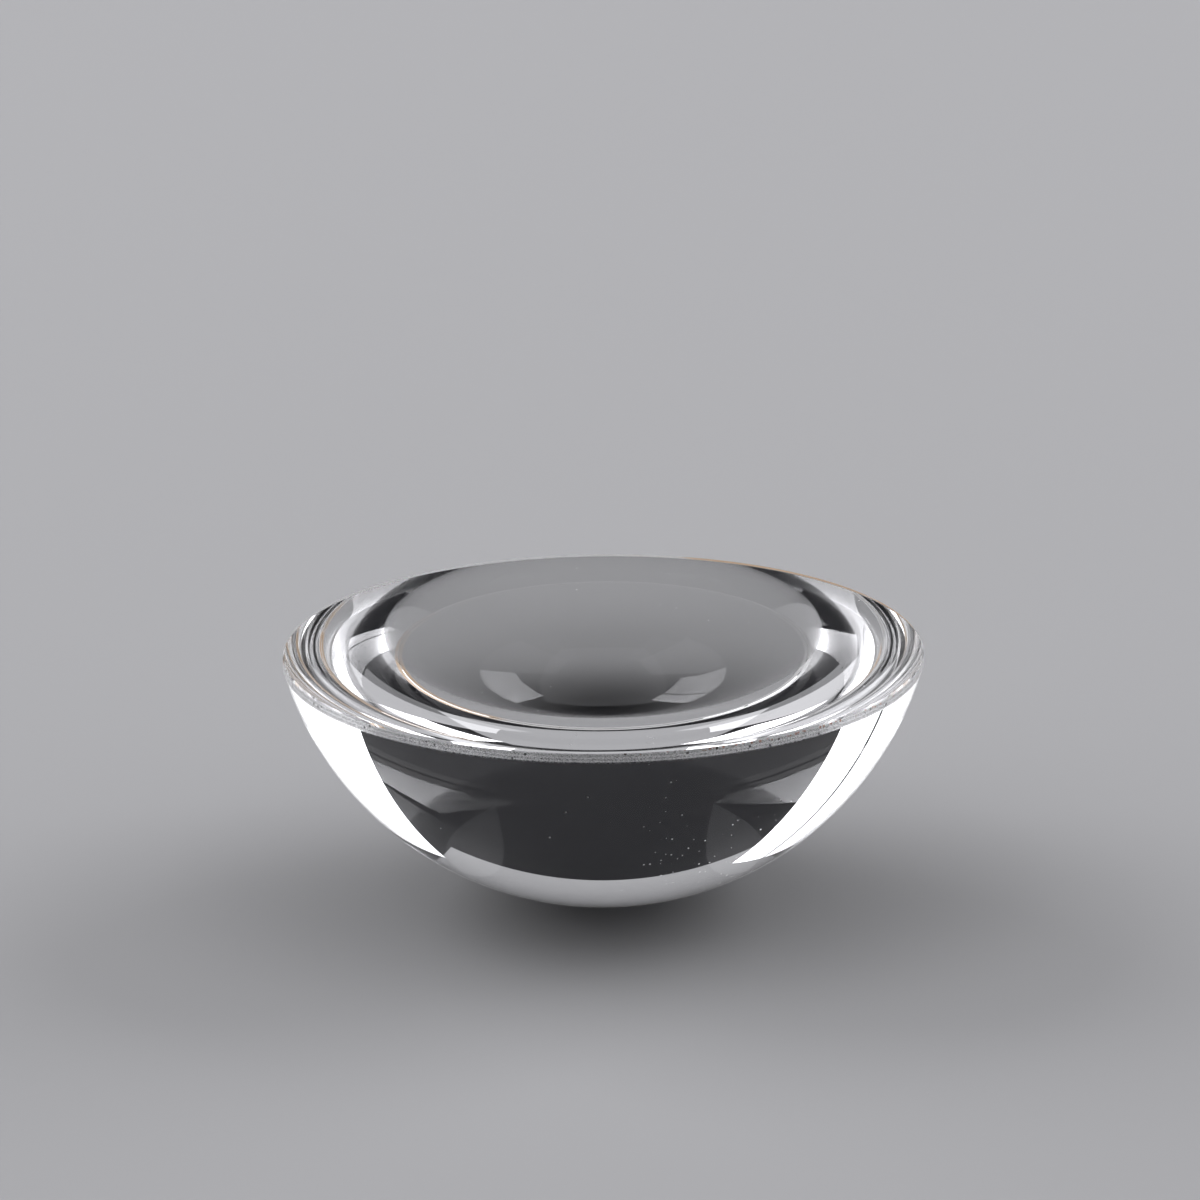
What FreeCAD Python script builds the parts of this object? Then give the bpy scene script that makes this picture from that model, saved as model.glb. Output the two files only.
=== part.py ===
"""Hemisphere lens: a plano-convex condenser lens of clear optical crown glass.

One piece of glass is ground and polished to a flat face and a deep spherical dome, a little
short of a full half ball, so the whole lens is one solid of revolution. A narrow land, ground
matt, runs round the rim between the two polished faces. The dome meets the land almost in
line with it, so only the corner at the flat face is sharp, and it has a fine bevel.

Frame: millimetres, +Z up along the optical axis. The lens rests dome down, with its flat face
level on top, and the origin is the vertex of the dome, its lowest point.
"""

import FreeCAD, Part
import math
import os
import Sketcher

# Driving dimensions in millimetres: alias, value, what it measures.
DIMENSIONS = [
    ("lens_diameter", 50.0, "outside of the ground land"),
    ("centre_thickness", 19.8, "dome vertex to flat face, along the axis"),
    ("edge_thickness", 0.8, "flat face to the edge of the dome, at the rim"),
    ("flat_bevel", 0.12, "leg of the bevel between flat face and land"),
]

doc = FreeCAD.newDocument("hemisphere_lens")


# The sheet of driving dimensions.
sheet = doc.addObject("Spreadsheet::Sheet", "Dimensions")
for row, (alias, value, meaning) in enumerate(DIMENSIONS, start=1):
    sheet.set(f"A{row}", alias)
    sheet.set(f"B{row}", str(value))
    sheet.set(f"C{row}", meaning)
    sheet.setAlias(f"B{row}", alias)
doc.recompute()


# The lens body and the plane that its half section is drawn on.
lens = doc.addObject("PartDesign::Body", "Lens")
lens.Label = "hemisphere_lens"
origin_features = {feature.Role: feature for feature in lens.Origin.OriginFeatures}

section = lens.newObject("Sketcher::SketchObject", "HalfSection")
section.AttachmentSupport = [(origin_features["XZ_Plane"], "")]
section.MapMode = "FlatFace"


# Half section, right of the axis: up the axis from the dome vertex, out along the flat face,
# down the land, and back to the vertex along the dome's arc, whose centre is on the axis.
rim_radius = sheet.lens_diameter / 2
flat_height = sheet.centre_thickness
dome_depth = sheet.centre_thickness - sheet.edge_thickness
dome_radius = (rim_radius**2 + dome_depth**2) / (2 * dome_depth)

vertex = FreeCAD.Vector(0, 0, 0)
flat_centre = FreeCAD.Vector(0, flat_height, 0)
flat_rim = FreeCAD.Vector(rim_radius, flat_height, 0)
dome_rim = FreeCAD.Vector(rim_radius, dome_depth, 0)
dome_centre = FreeCAD.Vector(0, dome_radius, 0)
dome_circle = Part.Circle(dome_centre, FreeCAD.Vector(0, 0, 1), dome_radius)
rim_angle = math.atan2(dome_depth - dome_radius, rim_radius)

axis_line = section.addGeometry(Part.LineSegment(vertex, flat_centre))
flat_line = section.addGeometry(Part.LineSegment(flat_centre, flat_rim))
land_line = section.addGeometry(Part.LineSegment(flat_rim, dome_rim))
dome_arc = section.addGeometry(Part.ArcOfCircle(dome_circle, -math.pi / 2, rim_angle))

START, END, CENTRE = 1, 2, 3
SKETCH_ORIGIN = (-1, START)
SKETCH_VERTICAL = -2

for constraint in (
    ("Coincident", axis_line, START, *SKETCH_ORIGIN),
    ("Coincident", axis_line, END, flat_line, START),
    ("Coincident", flat_line, END, land_line, START),
    ("Coincident", land_line, END, dome_arc, END),
    ("Coincident", dome_arc, START, axis_line, START),
    ("PointOnObject", dome_arc, CENTRE, SKETCH_VERTICAL),
    ("Vertical", axis_line),
    ("Horizontal", flat_line),
    ("Vertical", land_line),
):
    section.addConstraint(Sketcher.Constraint(*constraint))

for line, length, expression in (
    (axis_line, flat_height, "Dimensions.centre_thickness"),
    (flat_line, rim_radius, "Dimensions.lens_diameter / 2"),
    (land_line, sheet.edge_thickness, "Dimensions.edge_thickness"),
):
    index = section.addConstraint(Sketcher.Constraint("Distance", line, length))
    section.setExpression(f"Constraints[{index}]", expression)
doc.recompute()


# The half section turned once round the optical axis gives the sharp-edged lens.
turned = lens.newObject("PartDesign::Revolution", "TurnedLens")
turned.Profile = (section, [""])
turned.ReferenceAxis = (section, ["V_Axis"])
turned.Angle = 360.0
doc.recompute()


# The sharp corner round the flat face has a fine bevel, so that the rim doesn't chip there.
CORNER_TOLERANCE = 1e-6


def flat_face_corner(shape):
    """Names the circular edge of the shape that runs round the flat face at full diameter."""
    for number, edge in enumerate(shape.Edges, start=1):
        lies_flat = edge.BoundBox.ZLength < CORNER_TOLERANCE
        is_on_top = abs(edge.BoundBox.ZMin - flat_height) < CORNER_TOLERANCE
        if lies_flat and is_on_top:
            return f"Edge{number}"
    raise RuntimeError("the flat face has no edge to bevel")


bevelled = lens.newObject("PartDesign::Chamfer", "FlatBevel")
bevelled.Base = (turned, [flat_face_corner(turned.Shape)])
bevelled.setExpression("Size", "Dimensions.flat_bevel")
lens.Tip = bevelled
doc.recompute()


# Nothing is written unless every object is sound.
for item in doc.Objects:
    if {"Invalid", "Error"} & set(item.State):
        raise RuntimeError(f"{item.Label} failed: {item.State}")
if lens.Shape.isNull() or not lens.Shape.isValid() or len(lens.Shape.Solids) != 1:
    raise RuntimeError("the lens is not one valid solid")

os.makedirs("parts", exist_ok=True)
lens.Shape.exportStep(f"parts/{lens.Label}.step")

box = lens.Shape.optimalBoundingBox()
print(f"{lens.Label}: {box.XLength:.3f} x {box.YLength:.3f} x {box.ZLength:.3f} mm")
print(f"dome radius {dome_radius:.3f} mm, volume {lens.Shape.Volume:.1f} mm3")
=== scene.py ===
"""Hemisphere lens: a clear plano-convex lens with its flat polished face up and its dome down."""

import math

import bpy
import numpy as np
from mathutils import Matrix, Vector


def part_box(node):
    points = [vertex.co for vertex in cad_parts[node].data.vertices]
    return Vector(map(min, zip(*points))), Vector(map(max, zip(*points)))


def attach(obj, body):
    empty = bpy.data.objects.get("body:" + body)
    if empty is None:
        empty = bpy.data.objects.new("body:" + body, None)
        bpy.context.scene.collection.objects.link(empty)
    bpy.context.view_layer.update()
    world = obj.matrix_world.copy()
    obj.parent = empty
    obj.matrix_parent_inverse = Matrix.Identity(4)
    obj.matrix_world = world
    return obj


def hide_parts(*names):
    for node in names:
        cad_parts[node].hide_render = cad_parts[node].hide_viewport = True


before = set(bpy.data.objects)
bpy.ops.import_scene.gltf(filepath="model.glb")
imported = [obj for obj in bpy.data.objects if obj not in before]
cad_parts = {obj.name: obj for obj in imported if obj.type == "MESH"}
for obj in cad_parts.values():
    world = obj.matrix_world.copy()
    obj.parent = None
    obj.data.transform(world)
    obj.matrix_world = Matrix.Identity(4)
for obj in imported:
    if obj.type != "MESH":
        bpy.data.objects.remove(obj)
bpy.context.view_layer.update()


# The lens is one piece of optical crown glass, a little short of a full half ball. Its flat face,
# its dome and the fine bevel round the flat face are ground and polished clear. The narrow land
# round the rim, between dome and bevel, is ground only, so it stays matt.
lens_low, lens_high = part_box("hemisphere_lens")
RIM_RADIUS = (lens_high[0] - lens_low[0]) / 2
FLAT_HEIGHT = lens_high[2]
EDGE_THICKNESS = 0.0008
FLAT_BEVEL = 0.00012
LAND_FOOT = FLAT_HEIGHT - EDGE_THICKNESS
LAND_TOP = FLAT_HEIGHT - FLAT_BEVEL
DOME_RADIUS = (RIM_RADIUS**2 + LAND_FOOT**2) / (2 * LAND_FOOT)

STEPS_ROUND = 600
DOME_RINGS = 150
LAND_RINGS = 2
LAST_DOME_STEP = 0.05


def lens_profile():
    """Radius and height of the lens's outline, from the dome's vertex to the flat's centre.

    The dome is a circle's arc of radius R about a centre on the axis: at an angle a from the
    axis the outline is at radius R sin a and height R (1 - cos a). Its steps of angle are even,
    with one short step last. Straight lines make the land, the bevel and the flat.
    The third value is the index of the first point of each: land, bevel, flat.
    """
    share = np.linspace(0, 1, DOME_RINGS, endpoint=False)
    share = np.append(share, 1 - LAST_DOME_STEP / DOME_RINGS)
    angle = share * math.asin(RIM_RADIUS / DOME_RADIUS)
    dome = DOME_RADIUS * np.stack([np.sin(angle), 1 - np.cos(angle)])
    up = np.linspace(0, 1, LAND_RINGS, endpoint=False)
    land = np.stack([np.full(LAND_RINGS, RIM_RADIUS), LAND_FOOT + (LAND_TOP - LAND_FOOT) * up])
    bevel = np.array([[RIM_RADIUS], [LAND_TOP]])
    flat = np.array([[RIM_RADIUS - FLAT_BEVEL, 0], [FLAT_HEIGHT, FLAT_HEIGHT]])
    radius, height = np.concatenate([dome, land, bevel, flat], axis=1)
    starts = np.cumsum([dome.shape[1], LAND_RINGS, 1])
    return radius, height, starts


def turned_solid(name, radius, height, sharp_rings):
    """A closed mesh: the profile turned once round the Z axis.

    Its first and last points lie on the axis and become one vertex each. Ring i, point j is
    (radius_i cos t_j, radius_i sin t_j, height_i), with t_j in even steps round a full turn.
    The edges along each of the sharp rings are marked sharp.
    """
    turn = np.arange(STEPS_ROUND) * (2 * np.pi / STEPS_ROUND)
    rings = len(radius) - 2
    points = np.empty((rings, STEPS_ROUND, 3))
    points[..., 0] = radius[1:-1, None] * np.cos(turn)
    points[..., 1] = radius[1:-1, None] * np.sin(turn)
    points[..., 2] = height[1:-1, None]
    vertices = np.concatenate(
        [points.reshape(-1, 3), [[0, 0, height[0]], [0, 0, height[-1]]]]
    )

    here = np.arange(STEPS_ROUND)
    after = (here + 1) % STEPS_ROUND
    base = (np.arange(rings - 1) * STEPS_ROUND)[:, None]
    quads = np.stack(
        [base + here, base + after, base + STEPS_ROUND + after, base + STEPS_ROUND + here],
        axis=-1,
    ).reshape(-1, 4)
    lowest, highest = rings * STEPS_ROUND, rings * STEPS_ROUND + 1
    last = (rings - 1) * STEPS_ROUND
    lower_fan = np.stack([np.full(STEPS_ROUND, lowest), after, here], axis=-1)
    upper_fan = np.stack([np.full(STEPS_ROUND, highest), last + here, last + after], axis=-1)

    mesh = bpy.data.meshes.new(name)
    mesh.from_pydata(
        vertices.tolist(), [], quads.tolist() + lower_fan.tolist() + upper_fan.tolist()
    )
    mesh.shade_smooth()
    ends = np.empty(len(mesh.edges) * 2, dtype=np.int64)
    mesh.edges.foreach_get("vertices", ends)
    ring_of = np.append(np.repeat(np.arange(rings), STEPS_ROUND) + 1, [0, rings + 1])
    ring_ends = ring_of[ends].reshape(-1, 2)
    along_ring = (ring_ends[:, 0] == ring_ends[:, 1]) & np.isin(ring_ends[:, 0], sharp_rings)
    mesh.edges.foreach_set("use_edge_sharp", along_ring)
    mesh.update()
    piece = bpy.data.objects.new(name, mesh)
    bpy.context.collection.objects.link(piece)
    return piece


profile_radius, profile_height, (land_start, bevel_start, flat_start) = lens_profile()
lens = turned_solid(
    "polished_lens", profile_radius, profile_height, [land_start, bevel_start, flat_start]
)

POLISHED, GROUND = 0, 1
face_middles = np.empty(len(lens.data.polygons) * 3)
lens.data.polygons.foreach_get("center", face_middles)
face_heights = face_middles.reshape(-1, 3)[:, 2]
face_on_land = (face_heights > LAND_FOOT) & (face_heights < LAND_TOP)
face_finish = np.where(face_on_land, GROUND, POLISHED)
lens.data.polygons.foreach_set("material_index", face_finish)


def joined(tree, kind, settings, **inputs):
    """A new node of a kind with its settings, and its named inputs linked or set to numbers.

    An input that has no name of its own is given by its place, as _0 or _1.
    """
    node = tree.nodes.new(kind)
    for setting, value in settings.items():
        setattr(node, setting, value)
    for name, value in inputs.items():
        socket = node.inputs[int(name[1:])] if name[1:].isdigit() else node.inputs[name]
        if isinstance(value, bpy.types.NodeSocket):
            tree.links.new(value, socket)
        else:
            socket.default_value = value
    return node


def maths(tree, operation, *terms):
    """The output of a Math node whose terms are sockets or numbers."""
    inputs = {f"_{place}": term for place, term in enumerate(terms)}
    return joined(tree, "ShaderNodeMath", {"operation": operation}, **inputs).outputs[0]


def faded(tree, value, start, end):
    """A mask that eases from 0 at the start value to 1 at the end value."""
    inputs = {"Value": value, "From Min": start, "From Max": end}
    node = joined(tree, "ShaderNodeMapRange", {"interpolation_type": "SMOOTHSTEP"}, **inputs)
    return node.outputs["Result"]


def object_position(tree):
    """Each point's place in the lens's own coordinates."""
    return tree.nodes.new("ShaderNodeTexCoord").outputs["Object"]


def effect_group(name, inputs, outputs):
    """An empty shader node group with float inputs and outputs, and its two end nodes."""
    group = bpy.data.node_groups.new(name, "ShaderNodeTree")
    for title, value in inputs.items():
        socket = group.interface.new_socket(title, in_out="INPUT", socket_type="NodeSocketFloat")
        socket.default_value = value
    for title in outputs:
        group.interface.new_socket(title, in_out="OUTPUT", socket_type="NodeSocketFloat")
    return group, group.nodes.new("NodeGroupInput"), group.nodes.new("NodeGroupOutput")


def place_group():
    """Where a point is on the lens: its distance from the optical axis, and its height."""
    group, _, result = effect_group("place_on_lens", {}, ["Radius", "Height"])
    parts = joined(group, "ShaderNodeSeparateXYZ", {}, Vector=object_position(group)).outputs
    across = maths(group, "MULTIPLY", parts["X"], parts["X"])
    across = maths(group, "ADD", across, maths(group, "MULTIPLY", parts["Y"], parts["Y"]))
    group.links.new(maths(group, "SQRT", across), result.inputs["Radius"])
    group.links.new(parts["Z"], result.inputs["Height"])
    return group


GRAINS_PER_METRE = 8500.0
GRAIN_STRETCH = (1.0, 1.0, 2.2)
GRAIN_ROUGHNESS = 0.6
GRAIN_EDGE = (0.36, 0.64)


def grind_group():
    """The fine grain that loose abrasive leaves, drawn out round the rim: 0 in pits to 1."""
    inputs = {"Grains per metre": GRAINS_PER_METRE}
    group, given, result = effect_group("ground_grain", inputs, ["Grain"])
    drawn_out = joined(
        group, "ShaderNodeMapping", {}, Vector=object_position(group), Scale=GRAIN_STRETCH
    )
    noise = joined(
        group, "ShaderNodeTexNoise", {}, Vector=drawn_out.outputs["Vector"],
        Scale=given.outputs["Grains per metre"], Detail=2.0, Roughness=GRAIN_ROUGHNESS,
    )
    group.links.new(faded(group, noise.outputs["Fac"], *GRAIN_EDGE), result.inputs["Grain"])
    return group


PLACE_ON_LENS = place_group()
GROUND_GRAIN = grind_group()

CROWN_GLASS_IOR = 1.5168
CLEAR = (1.0, 1.0, 1.0, 1.0)


def glass_material(name, roughness, transmission):
    """Crown glass, with its node tree and its shader node, before its masks are linked."""
    material = bpy.data.materials.new(name)
    material.use_nodes = True
    shader = material.node_tree.nodes["Principled BSDF"]
    shader.inputs["Base Color"].default_value = CLEAR
    shader.inputs["Roughness"].default_value = roughness
    shader.inputs["IOR"].default_value = CROWN_GLASS_IOR
    shader.inputs["Transmission Weight"].default_value = transmission
    return material, material.node_tree, shader


DUST_CELLS_PER_METRE = 2400.0
DUST_SIZE = 0.2
DUST_ROUGHNESS = 0.6
DUST_PATCHES_PER_METRE = 90.0
DUST_PATCH_EDGE = (0.35, 0.65)
DUSTY_SPOT = (0.009, -0.018, 0.009)
DUSTY_SPOT_EDGE = (0.003, 0.012)
DUST_SHARE_IN_SPOT = 0.6
DUST_SHARE_ELSEWHERE = 0.03


def dust_mask(tree, position):
    """Small round specks in the middles of some cells, in patches, most near the dusty spot."""
    cells = joined(
        tree, "ShaderNodeTexVoronoi", {}, Vector=position, Scale=DUST_CELLS_PER_METRE
    )
    chance = joined(tree, "ShaderNodeSeparateColor", {}, Color=cells.outputs["Color"]).outputs
    patches = joined(
        tree, "ShaderNodeTexNoise", {}, Vector=position, Scale=DUST_PATCHES_PER_METRE, Detail=1.0
    )
    settled = faded(tree, patches.outputs["Fac"], *DUST_PATCH_EDGE)
    away = joined(
        tree, "ShaderNodeVectorMath", {"operation": "DISTANCE"}, _0=position, _1=DUSTY_SPOT
    )
    in_spot = maths(tree, "SUBTRACT", 1.0, faded(tree, away.outputs["Value"], *DUSTY_SPOT_EDGE))
    share = maths(tree, "MULTIPLY_ADD", in_spot, DUST_SHARE_IN_SPOT, DUST_SHARE_ELSEWHERE)
    share = maths(tree, "MULTIPLY", settled, share)
    kept = maths(tree, "LESS_THAN", chance["Red"], share)
    size = maths(tree, "MULTIPLY", chance["Green"], DUST_SIZE)
    size = maths(tree, "MULTIPLY", kept, size)
    return maths(tree, "LESS_THAN", cells.outputs["Distance"], size)


FROST_ROUGHNESS = 0.5
FROST_REACH = 0.00012
JUST_ABOVE_DOME = LAND_FOOT + FLAT_BEVEL / 2


def frost_mask(tree, height, grain):
    """The ragged frosted line that the grinding of the land leaves at the top of the dome."""
    foot = maths(tree, "MULTIPLY_ADD", grain, -FROST_REACH, LAND_FOOT)
    on_dome = maths(tree, "LESS_THAN", height, JUST_ABOVE_DOME)
    return maths(tree, "MULTIPLY", maths(tree, "GREATER_THAN", height, foot), on_dome)


RIM_HAZE = 0.05
HAZE_EDGE = (0.86 * RIM_RADIUS, 0.95 * RIM_RADIUS)
JUST_BELOW_FLAT = FLAT_HEIGHT - FLAT_BEVEL / 10


def haze_roughness(tree, place):
    """A trace of roughness on the outermost part of the flat face, where the polish is thin."""
    near_rim = faded(tree, place["Radius"], *HAZE_EDGE)
    on_flat = maths(tree, "GREATER_THAN", place["Height"], JUST_BELOW_FLAT)
    return maths(tree, "MULTIPLY", maths(tree, "MULTIPLY", near_rim, on_flat), RIM_HAZE)


def polished_material():
    """Clear polished glass with a little dust.

    A ragged frosted line runs under the land, and a trace of haze round the flat face.
    """
    material, tree, shader = glass_material("polished_glass", 0.0, 1.0)
    place = joined(tree, "ShaderNodeGroup", {"node_tree": PLACE_ON_LENS}).outputs
    grain = joined(tree, "ShaderNodeGroup", {"node_tree": GROUND_GRAIN}).outputs["Grain"]
    dust = dust_mask(tree, object_position(tree))
    frost = frost_mask(tree, place["Height"], grain)
    rough = haze_roughness(tree, place)
    rough = maths(tree, "MAXIMUM", rough, maths(tree, "MULTIPLY", dust, DUST_ROUGHNESS))
    rough = maths(tree, "MAXIMUM", rough, maths(tree, "MULTIPLY", frost, FROST_ROUGHNESS))
    tree.links.new(rough, shader.inputs["Roughness"])
    return material


def blended(tree, blend, factor, first, second):
    """The output of a colour mix of two sockets or colours by a factor."""
    mix = joined(
        tree, "ShaderNodeMix", {"data_type": "RGBA", "blend_type": blend},
        _0=factor, _6=first, _7=second,
    )
    return mix.outputs[2]


def reach_toward(tree, position, direction):
    """How far a position reaches along a direction, in metres."""
    node = joined(
        tree, "ShaderNodeVectorMath", {"operation": "DOT_PRODUCT"}, _0=position, _1=direction
    )
    return node.outputs["Value"]


SPECK_CELLS_PER_METRE = 3200.0
SPECK_SIZE = 0.36
PIT_SHARE = 0.07
# Sparks are painted glints: some cells are made lighter in the ground surface's colour.
PAINTED_GLINTS_FROM = 0.72
GROUND_SHADE = 0.45
GRAIN_SHADE = 0.4
LINE_SHADE = 0.3
PAINTED_GLINT_SHADE = 0.6
PIT_SHADE = -0.9
GRINDING_LINES = (LAND_FOOT + 0.00005, LAND_FOOT + 0.00033, LAND_TOP - 0.00004)
LINE_EDGE = (0.00003, 0.00009)


def ground_shade(tree, height, grain, middle, chance):
    """How bright the ground surface is: grain in bright lines round the rim, painted glints and
    pits.
    """
    pit = maths(tree, "MULTIPLY", middle, maths(tree, "LESS_THAN", chance, PIT_SHARE))
    # Painted glints: lighter cells in the colour.
    painted_glint = maths(tree, "MULTIPLY", middle, maths(tree, "GREATER_THAN", chance, PAINTED_GLINTS_FROM))
    shade = maths(tree, "MULTIPLY_ADD", grain, GRAIN_SHADE, GROUND_SHADE)
    for line_height in GRINDING_LINES:
        away = maths(tree, "ABSOLUTE", maths(tree, "SUBTRACT", height, line_height))
        line = maths(tree, "SUBTRACT", 1.0, faded(tree, away, *LINE_EDGE))
        shade = maths(tree, "MULTIPLY_ADD", line, LINE_SHADE, shade)
    shade = maths(tree, "MULTIPLY_ADD", painted_glint, PAINTED_GLINT_SHADE, shade)
    shade = maths(tree, "MULTIPLY", shade, maths(tree, "MULTIPLY_ADD", pit, PIT_SHADE, 1.0))
    return maths(tree, "MINIMUM", shade, 1.0)


# Painted amber glow: an amber tint and glow of the rim, seen only from inside the glass.
LIGHT_AMBER_GLOW = (0.8, 0.59, 0.42, 1.0)
DARK_AMBER_GLOW = (0.42, 0.27, 0.19, 1.0)
AMBER_GLOW_DIRECTION = (0.87, 0.5, 0.0)
AMBER_GLOW_REACH = (0.4 * RIM_RADIUS, 0.85 * RIM_RADIUS)
AMBER_GLOW_EDGE = (0.33, 0.45)
DARK_AMBER_GLOW_EDGE = (0.56, 0.7)


def amber_glow(tree, position, patches):
    """The mask of the painted amber glow and tint at the back right of the rim, and its colour.
    """
    amber_glow_side = faded(tree, reach_toward(tree, position, AMBER_GLOW_DIRECTION), *AMBER_GLOW_REACH)
    amber_glow_mask = maths(tree, "MULTIPLY", amber_glow_side, faded(tree, patches, *AMBER_GLOW_EDGE))
    dark = faded(tree, patches, *DARK_AMBER_GLOW_EDGE)
    return amber_glow_mask, blended(tree, "MIX", dark, LIGHT_AMBER_GLOW, DARK_AMBER_GLOW)


RUST = (0.62, 0.33, 0.24, 1.0)
RUST_DEPTH = 0.00022
RUST_PATCH_EDGE = (0.35, 0.6)
RUSTY_SIDE = (0.95, -0.3, 0.0)
RUSTY_REACH = (-0.3 * RIM_RADIUS, 0.3 * RIM_RADIUS)


def rust_mask(tree, position, height, patches, middle, chance):
    """Specks along the land's top edge, in the middles of some cells, on the right side."""
    at_top = maths(tree, "GREATER_THAN", height, LAND_TOP - RUST_DEPTH)
    rusty = maths(tree, "LESS_THAN", chance, faded(tree, patches, *RUST_PATCH_EDGE))
    rusty = maths(tree, "MULTIPLY", maths(tree, "MULTIPLY", rusty, at_top), middle)
    rusty_side = faded(tree, reach_toward(tree, position, RUSTY_SIDE), *RUSTY_REACH)
    return maths(tree, "MULTIPLY", rusty, rusty_side)


GROUND_ROUGHNESS = 0.6
GROUND_TRANSMISSION = 0.3
SMOOTHEST_GROUND = 0.2
GRAIN_ROUGHENING = 0.25
INSIDE_ROUGHNESS = 0.5
GRAIN_BUMP = 0.8
GRAIN_DEPTH = 0.00003
PATCHES_PER_METRE = 110.0
# Painted glow: seen from inside, the ground rim glows pale, in place of light that the renderer
# doesn't follow.
PAINTED_GLOW_STRENGTH = 0.58
PALE_PAINTED_GLOW = (0.9, 0.9, 0.92, 1.0)
NO_PAINTED_GLOW = (0.0, 0.0, 0.0, 1.0)


def ground_material():
    """Matt ground glass: grey grain in rows with pits and painted glints, and rust at its top
    edge.

    Seen from inside it has a painted amber tint and glow at the back right, and a painted pale
    glow that stands in for the light a matt rim gathers inside the glass, which the renderer
    doesn't follow.
    """
    material, tree, shader = glass_material(
        "ground_glass", GROUND_ROUGHNESS, GROUND_TRANSMISSION
    )
    place = joined(tree, "ShaderNodeGroup", {"node_tree": PLACE_ON_LENS}).outputs
    grain = joined(tree, "ShaderNodeGroup", {"node_tree": GROUND_GRAIN}).outputs["Grain"]
    position = object_position(tree)
    inside = tree.nodes.new("ShaderNodeNewGeometry").outputs["Backfacing"]
    cells = joined(tree, "ShaderNodeTexVoronoi", {}, Vector=position, Scale=SPECK_CELLS_PER_METRE)
    chance = joined(tree, "ShaderNodeSeparateColor", {}, Color=cells.outputs["Color"]).outputs
    middle = maths(tree, "LESS_THAN", cells.outputs["Distance"], SPECK_SIZE)
    noise = joined(
        tree, "ShaderNodeTexNoise", {}, Vector=position, Scale=PATCHES_PER_METRE, Detail=2.0
    )
    patches = noise.outputs["Fac"]

    shade = ground_shade(tree, place["Height"], grain, middle, chance["Red"])
    shade = maths(tree, "MAXIMUM", shade, inside)
    grey = joined(tree, "ShaderNodeCombineColor", {}, Red=shade, Green=shade, Blue=shade)
    # Painted amber tint and glow at the back right of the rim, only where it is seen from inside.
    amber_glow_mask, amber_glow_colour = amber_glow(tree, position, patches)
    amber_glow_inside = maths(tree, "MULTIPLY", amber_glow_mask, inside)
    colour = blended(tree, "MULTIPLY", amber_glow_inside, grey.outputs["Color"], amber_glow_colour)
    rusty = rust_mask(tree, position, place["Height"], patches, middle, chance["Green"])
    colour = blended(tree, "MULTIPLY", rusty, colour, RUST)
    tree.links.new(colour, shader.inputs["Base Color"])

    # Painted glow, pale with amber at the back right, only where the rim is seen from inside.
    painted_glow = blended(tree, "MIX", amber_glow_mask, PALE_PAINTED_GLOW, amber_glow_colour)
    painted_glow = blended(tree, "MIX", inside, NO_PAINTED_GLOW, painted_glow)
    tree.links.new(painted_glow, shader.inputs["Emission Color"])
    shader.inputs["Emission Strength"].default_value = PAINTED_GLOW_STRENGTH

    rough = maths(tree, "MULTIPLY_ADD", grain, GRAIN_ROUGHENING, SMOOTHEST_GROUND)
    rough = maths(tree, "MAXIMUM", rough, maths(tree, "MULTIPLY", inside, INSIDE_ROUGHNESS))
    tree.links.new(rough, shader.inputs["Roughness"])
    outside = maths(tree, "SUBTRACT", 1.0, inside)
    strength = maths(tree, "MULTIPLY", outside, GRAIN_BUMP)
    bump = joined(
        tree, "ShaderNodeBump", {}, Height=grain, Strength=strength, Distance=GRAIN_DEPTH
    )
    tree.links.new(bump.outputs["Normal"], shader.inputs["Normal"])
    return material


lens.data.materials.append(polished_material())
lens.data.materials.append(ground_material())
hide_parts("hemisphere_lens")
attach(lens, "root")


# The floor is one plain flat sheet with a pale matt surface. It is wide enough to fill every
# view of the lens, which rests on it with its dome.
FLOOR_HALF_SIDE = 15.0
FLOOR_COLOUR = (0.5, 0.5, 0.5, 1.0)
FLOOR_ROUGHNESS = 0.9

floor_mesh = bpy.data.meshes.new("floor")
floor_corners = [
    (across * FLOOR_HALF_SIDE, along * FLOOR_HALF_SIDE, 0)
    for across, along in ((-1, -1), (1, -1), (1, 1), (-1, 1))
]
floor_mesh.from_pydata(floor_corners, [], [(0, 1, 2, 3)])
floor = bpy.data.objects.new("floor", floor_mesh)
bpy.context.collection.objects.link(floor)
floor_paint = bpy.data.materials.new("pale_floor")
floor_paint.use_nodes = True
floor_shader = floor_paint.node_tree.nodes["Principled BSDF"]
floor_shader.inputs["Base Color"].default_value = FLOOR_COLOUR
floor_shader.inputs["Roughness"].default_value = FLOOR_ROUGHNESS
floor_mesh.materials.append(floor_paint)


# Plain studio light: a bright upright panel at each side behind the lens, a dimmer one at each
# side in front of it, which falls off towards the camera, and a wide dim one overhead. Each
# upright panel is placed by the directions of its edges as seen from the lens.
PANEL_DISTANCE = 1.2
COOL_WHITE = (0.98, 0.98, 1.02)


def soft_panel(name, centre, facing, up, width, height, radiance):
    """A rectangular area lamp that faces along facing, with even brightness over its face."""
    lamp = bpy.data.lights.new(name, "AREA")
    lamp.shape = "RECTANGLE"
    lamp.size = width
    lamp.size_y = height
    lamp.energy = radiance * math.pi * width * height
    lamp.color = COOL_WHITE
    panel = bpy.data.objects.new(name, lamp)
    toward = facing.normalized()
    across = toward.cross(up).normalized()
    upright = across.cross(toward)
    turn = Matrix((across, upright, -toward)).transposed()
    panel.matrix_world = Matrix.Translation(centre) @ turn.to_4x4()
    panel.visible_camera = False
    bpy.context.collection.objects.link(panel)


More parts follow.
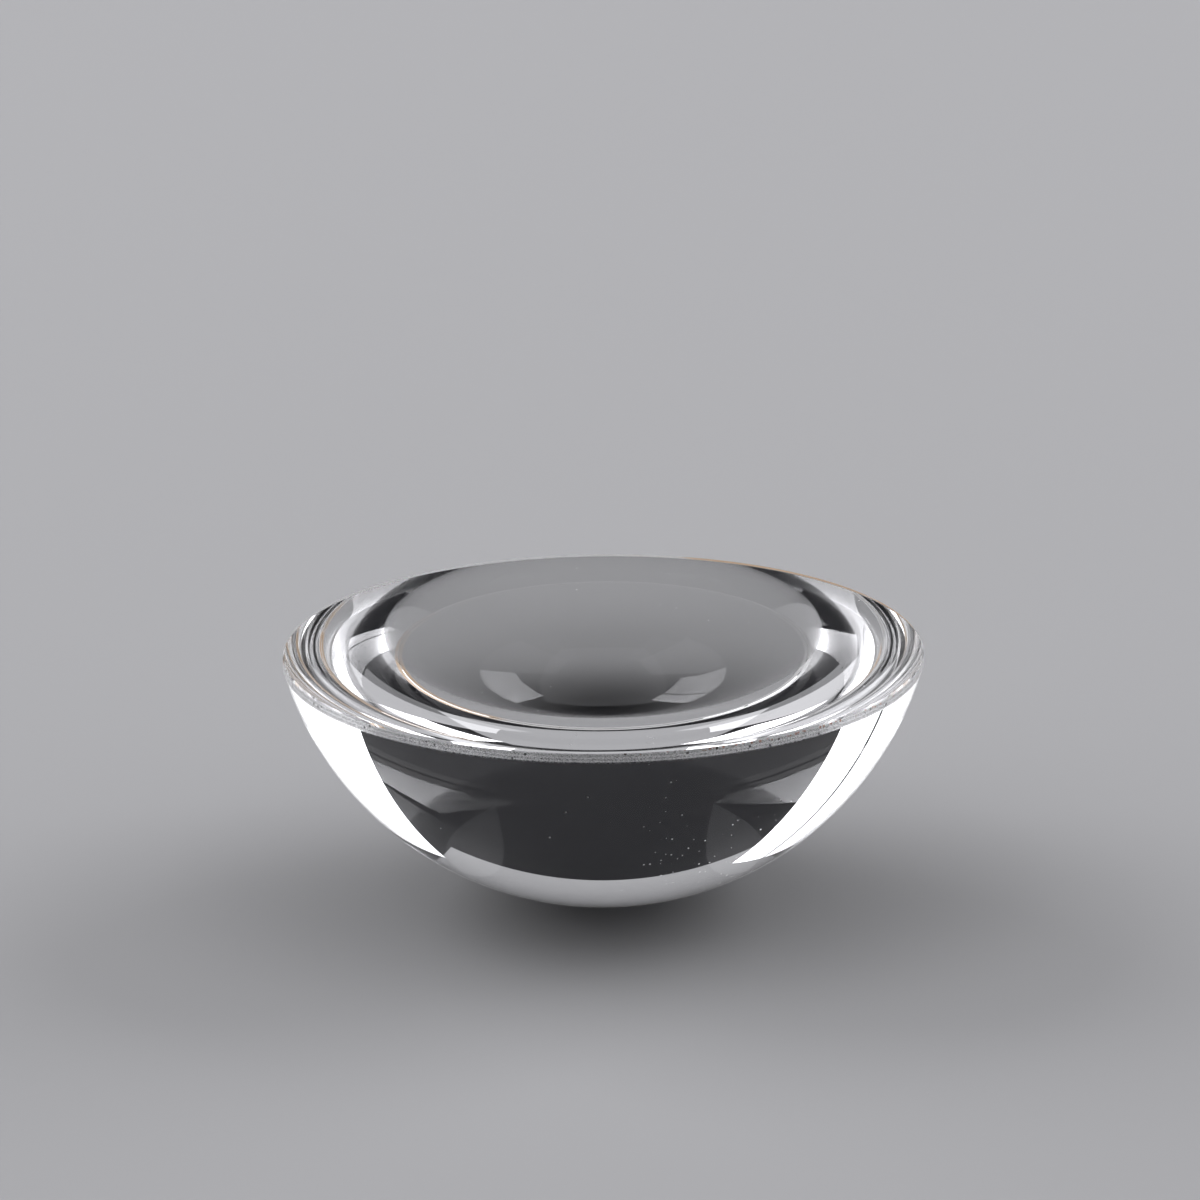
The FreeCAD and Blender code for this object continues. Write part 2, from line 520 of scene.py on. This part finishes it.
def upright_panel(name, azimuths, elevations, radiance, lean=0.0, slit=None):
    """A panel between two azimuths (from +Y towards +X) and two elevations, in degrees.

    It stands square to the line from the lens. A lean turns it about that line. A slit is a
    dark gap of the panel, from one share of its width to another.
    """
    middle = math.radians((azimuths[0] + azimuths[1]) / 2)
    spread = math.radians(abs(azimuths[1] - azimuths[0]) / 2)
    outward = Vector((math.sin(middle), math.cos(middle), 0))
    foot = PANEL_DISTANCE * math.tan(math.radians(elevations[0]))
    head = PANEL_DISTANCE * math.tan(math.radians(elevations[1]))
    centre = outward * PANEL_DISTANCE + Vector((0, 0, FLAT_HEIGHT + (foot + head) / 2))
    width = 2 * PANEL_DISTANCE * math.tan(spread)
    up = Matrix.Rotation(math.radians(lean), 3, outward) @ Vector((0, 0, 1))
    clockwise = up.cross(outward)
    lit_parts = [(0.0, 1.0)] if slit is None else [(0.0, slit[0]), (slit[1], 1.0)]
    for start, end in lit_parts:
        part_centre = centre + clockwise * width * ((start + end) / 2 - 0.5)
        part_width = width * (end - start)
        soft_panel(name, part_centre, -outward, up, part_width, head - foot, radiance)


upright_panel("right_panel", azimuths=(38.8, 84.0), elevations=(2.0, 45.0), radiance=3.4)
upright_panel(
    "left_panel", azimuths=(-33.0, -79.0), elevations=(2.0, 47.0), radiance=3.4,
    lean=14.0, slit=(0.29, 0.318),
)
upright_panel("front_right_panel", azimuths=(84.5, 131.0), elevations=(0.5, 68.0), radiance=0.6)
upright_panel("front_left_panel", azimuths=(-80.0, -131.0), elevations=(0.5, 68.0), radiance=0.85)
upright_panel("front_right_edge", azimuths=(131.0, 150.0), elevations=(27.0, 68.0), radiance=0.22)
upright_panel("front_left_edge", azimuths=(-131.0, -150.0), elevations=(27.0, 68.0), radiance=0.3)

OVERHEAD_FAR_EDGE = Vector((0, 1.26, FLAT_HEIGHT + 1.0))
OVERHEAD_SLOPE = math.radians(12.0)
OVERHEAD_WIDTH, OVERHEAD_DEPTH = 1.5, 2.4
OVERHEAD_RADIANCE = 0.5
overhead_run = Vector((0, -math.cos(OVERHEAD_SLOPE), math.sin(OVERHEAD_SLOPE)))
soft_panel(
    "overhead_panel",
    OVERHEAD_FAR_EDGE + overhead_run * OVERHEAD_DEPTH / 2,
    Vector((1, 0, 0)).cross(overhead_run),
    overhead_run,
    OVERHEAD_WIDTH,
    OVERHEAD_DEPTH,
    OVERHEAD_RADIANCE,
)

DARK_ROOM = (0.012, 0.012, 0.014, 1.0)
world = bpy.data.worlds.new("studio")
world.use_nodes = True
world.node_tree.nodes["Background"].inputs["Color"].default_value = DARK_ROOM
bpy.context.scene.world = world


# The camera looks down on the flat face at the photograph's angle, through a long lens, with a
# slight roll. The middle of the flat face is at a named pixel of the 1200 x 1200 frame.
CAMERA_ELEVATION = math.radians(18.02)
CAMERA_DISTANCE = 23.0 * RIM_RADIUS
CAMERA_ROLL = 0.0091
FRAME_PIXELS = 1200
RIM_RADIUS_PIXELS = 320.2
FLAT_CENTRE_PIXEL = (602.7, 649.0)
SENSOR_WIDTH = 36.0

flat_centre = Vector((0, 0, FLAT_HEIGHT))
backward = Vector((0, -math.cos(CAMERA_ELEVATION), math.sin(CAMERA_ELEVATION)))
rightward = Vector((1, 0, 0))
upward = backward.cross(rightward)
eye = flat_centre + backward * CAMERA_DISTANCE
metres_per_pixel = RIM_RADIUS / RIM_RADIUS_PIXELS
pixels_right = FRAME_PIXELS / 2 - FLAT_CENTRE_PIXEL[0]
pixels_up = FLAT_CENTRE_PIXEL[1] - FRAME_PIXELS / 2
aim = flat_centre + (rightward * pixels_right + upward * pixels_up) * metres_per_pixel

look = (eye - aim).normalized()
side_axis = Vector((0, 0, 1)).cross(look).normalized()
level = Matrix((side_axis, look.cross(side_axis), look)).transposed().to_4x4()
camera_data = bpy.data.cameras.new("camera")
camera_data.sensor_width = SENSOR_WIDTH
camera_data.lens = SENSOR_WIDTH * CAMERA_DISTANCE / (FRAME_PIXELS * metres_per_pixel)
camera = bpy.data.objects.new("camera", camera_data)
camera.matrix_world = Matrix.Translation(eye) @ level @ Matrix.Rotation(-CAMERA_ROLL, 4, "Z")
bpy.context.collection.objects.link(camera)
bpy.context.scene.camera = camera


# Glass bends and mirrors light many times. What runs round inside the rim is mirrored about
# 30 times before it comes out, so the renderer follows light for more bounces than that.
BOUNCES = 64

scene = bpy.context.scene
scene.view_settings.view_transform = "Standard"
scene.cycles.max_bounces = BOUNCES
scene.cycles.transmission_bounces = BOUNCES
scene.cycles.glossy_bounces = BOUNCES
scene.cycles.caustics_reflective = False
scene.cycles.caustics_refractive = False
